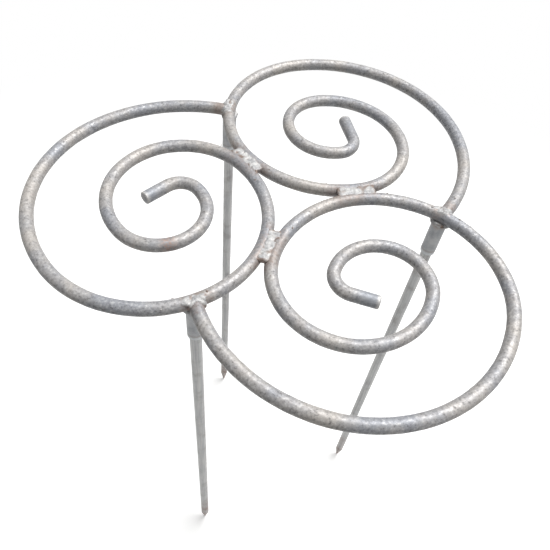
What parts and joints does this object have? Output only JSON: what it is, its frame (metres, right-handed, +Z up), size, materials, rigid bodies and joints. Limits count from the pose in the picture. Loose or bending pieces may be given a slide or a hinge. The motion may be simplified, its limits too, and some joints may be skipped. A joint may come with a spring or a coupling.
{
  "type": "plant support ring stake",
  "caption": "Garden plant support: a flat head of scrolled round steel bar, welded ring to ring, on push-in ground legs.",
  "frame": {"origin": "on the head's middle axis at soil level, where the legs go into the ground", "axes": "+Z up along the head's middle axis, X to the right and Y away as the picture sees the head, so the left scroll lies towards -X"},
  "size_m": [0.3646, 0.3731, 0.5078],
  "materials": {
    "bar_steel": "bare, weathered mill scale with light rust",
    "weld_metal": "as welded, pale and rippled",
    "socket_steel": "bare, mottled and dull",
    "leg_steel": "bare drawn bar, dull"
  },
  "bodies": {
    "head": {"scroll_left": "bar_steel", "scroll_back": "bar_steel", "scroll_front": "bar_steel", "seam_weld_left": "weld_metal", "seam_weld_back": "weld_metal", "seam_weld_front": "weld_metal", "end_weld_left": "weld_metal", "end_weld_back": "weld_metal", "end_weld_front": "weld_metal", "socket_left": "socket_steel", "socket_back": "socket_steel", "socket_front": "socket_steel", "socket_weld_left": "weld_metal", "socket_weld_back": "weld_metal", "socket_weld_front": "weld_metal"},
    "leg_left": {"leg_left": "leg_steel"},
    "leg_back": {"leg_back": "leg_steel"},
    "leg_front": {"leg_front": "leg_steel"}
  },
  "joints": [
    {"name": "leg_left_pull", "type": "slide", "parent": "head", "child": "leg_left", "axis": [0, 0, -1], "range_m": [0, 0.028]},
    {"name": "leg_back_pull", "type": "slide", "parent": "head", "child": "leg_back", "axis": [0, 0, -1], "range_m": [0, 0.028]},
    {"name": "leg_front_pull", "type": "slide", "parent": "head", "child": "leg_front", "axis": [0, 0, -1], "range_m": [0, 0.028]}
  ]
}
